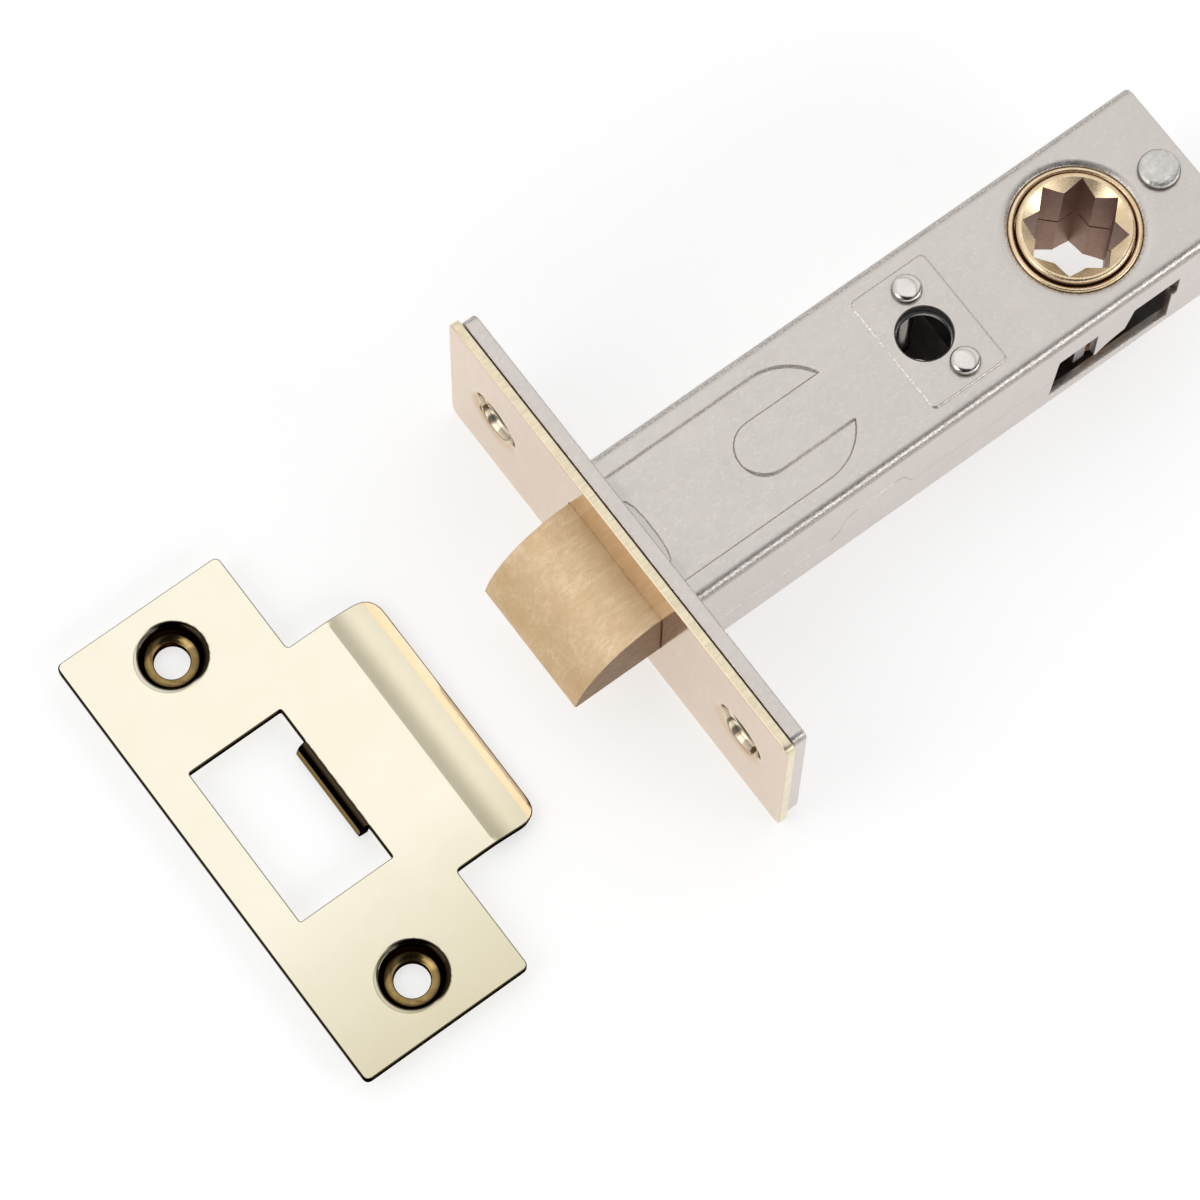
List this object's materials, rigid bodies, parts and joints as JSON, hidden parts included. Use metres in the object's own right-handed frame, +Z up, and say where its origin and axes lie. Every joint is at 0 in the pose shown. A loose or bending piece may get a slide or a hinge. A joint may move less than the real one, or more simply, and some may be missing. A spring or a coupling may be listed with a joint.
{
  "type": "tubular mortice latch with strike plate",
  "caption": "Tubular door latch with sprung bevelled bolt, split star follower, forend and case, and its T-shaped strike plate.",
  "frame": {"origin": "centre of the footprint of latch and strike plate together, on the surface they lie on", "axes": "+X from the strike plate through the forend to the rear end of the case; +Y along the forend; +Z up, out of the case's broad face"},
  "size_m": [0.1256, 0.0585, 0.025],
  "materials": {
    "polished_brass": "polished",
    "strike_brass": "polished",
    "bolt_brass": "brushed",
    "follower_brass": "cast and faced",
    "nickel_steel": "satin nickel plate",
    "plain_steel": "bright zinc",
    "spring_steel": "drawn wire"
  },
  "bodies": {
    "latch_case": {"outer_forend": "polished_brass", "inner_forend": "nickel_steel", "case_tube": "nickel_steel", "spring_bracket": "plain_steel", "bracket_rivet_left": "nickel_steel", "bracket_rivet_right": "nickel_steel", "rear_rivet": "nickel_steel", "follower_bush_upper": "follower_brass", "follower_bush_lower": "follower_brass", "bolt_spring": "spring_steel", "side_spring_left": "spring_steel", "side_spring_right": "spring_steel"},
    "bolt": {"bolt_head": "bolt_brass", "bolt_yoke": "plain_steel", "yoke_pin": "plain_steel", "bolt_spring_guide": "plain_steel", "side_spring_guide_left": "plain_steel", "side_spring_guide_right": "plain_steel"},
    "upper_follower": {"follower_upper": "follower_brass"},
    "lower_follower": {"follower_lower": "follower_brass"},
    "strike": {"strike_plate": "strike_brass"}
  },
  "joints": [
    {"name": "bolt_slide", "type": "slide", "parent": "latch_case", "child": "bolt", "axis": [1, 0, 0], "range_m": [0, 0.011], "stiffness_N_per_m": 600, "springref_m": -0.01, "deforming": ["bolt_spring", "side_spring_left", "side_spring_right"]},
    {"name": "upper_follower_turn", "type": "hinge", "parent": "latch_case", "child": "upper_follower", "pos_m": [0.0484, 0, 0.0125], "axis": [0, 0, -1], "range_deg": [0, 77.4]},
    {"name": "lower_follower_turn", "type": "hinge", "parent": "latch_case", "child": "lower_follower", "pos_m": [0.0484, 0, 0.0125], "axis": [0, 0, -1], "range_deg": [0, 77.4]},
    {"name": "strike_lift", "type": "slide", "parent": "latch_case", "child": "strike", "axis": [0, 0, 1], "range_m": [0, 0.04]}
  ],
  "couplings": [
    {"joint": "upper_follower_turn", "follows": "bolt_slide", "rad_per_m": 122.8},
    {"joint": "lower_follower_turn", "follows": "bolt_slide", "rad_per_m": 122.8}
  ]
}
